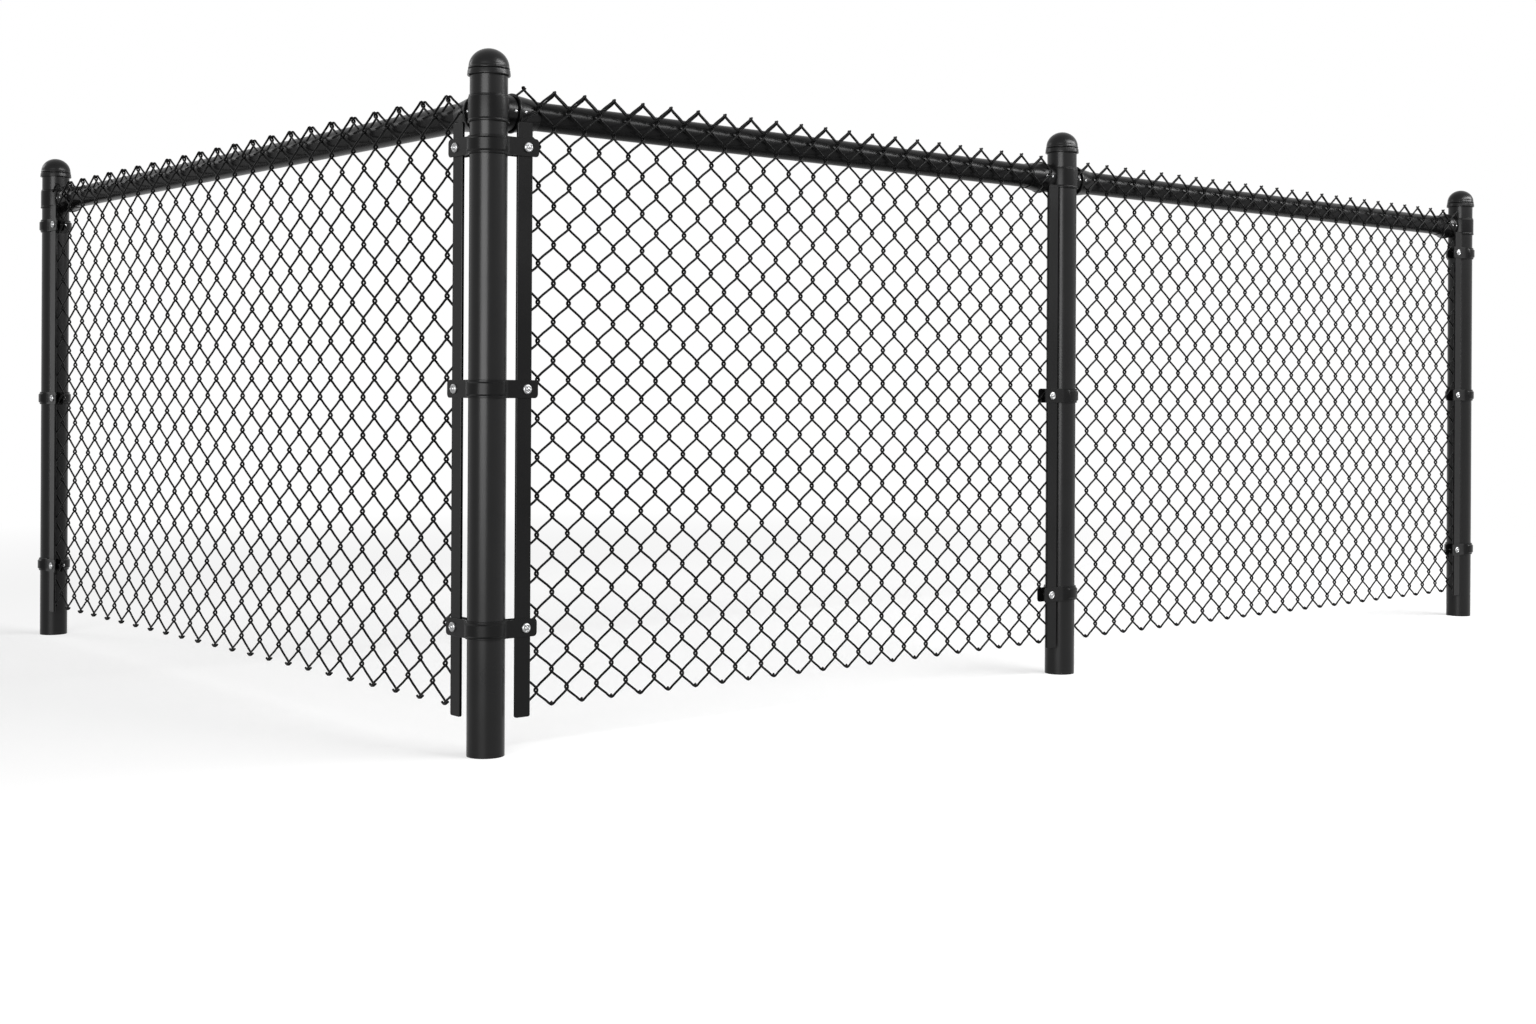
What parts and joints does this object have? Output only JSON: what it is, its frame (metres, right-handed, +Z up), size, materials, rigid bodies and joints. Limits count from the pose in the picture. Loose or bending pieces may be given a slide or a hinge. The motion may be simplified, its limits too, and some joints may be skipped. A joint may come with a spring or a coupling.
{
  "type": "chain link fence panel",
  "caption": "Black coated chain link fence section turning a right-angled corner, with round capped posts, top rails, tension bars, bands and woven diamond fabric.",
  "frame": {"origin": "centre of the corner post's foot, on the ground", "axes": "+Z up, +X along the two bays in line, +Y along the side bay; the fabric faces -X and -Y"},
  "size_m": [3.7074, 2.3814, 1.354],
  "materials": {
    "post_coating": "satin black powder coat",
    "cap_coating": "satin black powder coat on a cast cap",
    "rail_coating": "satin black powder coat",
    "fitting_coating": "satin black powder coat",
    "fabric_wire": "black polymer coat on steel wire",
    "bolt_zinc": "bright zinc plate"
  },
  "bodies": {
    "root": {"brace_band_corner": "fitting_coating", "brace_band_left": "fitting_coating", "brace_band_line": "fitting_coating", "brace_band_right": "fitting_coating", "cap_corner": "cap_coating", "cap_left": "cap_coating", "cap_line": "cap_coating", "cap_right": "cap_coating", "fabric_left_corner_half": "fabric_wire", "fabric_left_end_half": "fabric_wire", "fabric_middle_corner_half": "fabric_wire", "fabric_middle_line_half": "fabric_wire", "fabric_right_end_half": "fabric_wire", "fabric_right_line_half": "fabric_wire", "post_corner": "post_coating", "post_left": "post_coating", "post_line": "post_coating", "post_right": "post_coating", "rail_cup_left_at_corner": "fitting_coating", "rail_cup_left_at_left": "fitting_coating", "rail_cup_middle_at_corner": "fitting_coating", "rail_cup_middle_at_line": "fitting_coating", "rail_cup_right_at_line": "fitting_coating", "rail_cup_right_at_right": "fitting_coating", "tension_band_corner_bottom": "fitting_coating", "tension_band_corner_middle": "fitting_coating", "tension_band_corner_top": "fitting_coating", "tension_band_left_bottom": "fitting_coating", "tension_band_left_middle": "fitting_coating", "tension_band_left_top": "fitting_coating", "tension_band_line_bottom": "fitting_coating", "tension_band_line_middle": "fitting_coating", "tension_band_right_bottom": "fitting_coating", "tension_band_right_middle": "fitting_coating", "tension_band_right_top": "fitting_coating", "tension_bar_corner_east": "fitting_coating", "tension_bar_corner_north": "fitting_coating", "tension_bar_left": "fitting_coating", "tension_bar_line": "fitting_coating", "tension_bar_right": "fitting_coating", "top_rail_left": "rail_coating", "top_rail_middle": "rail_coating", "top_rail_right": "rail_coating"}
  },
  "joints": []
}
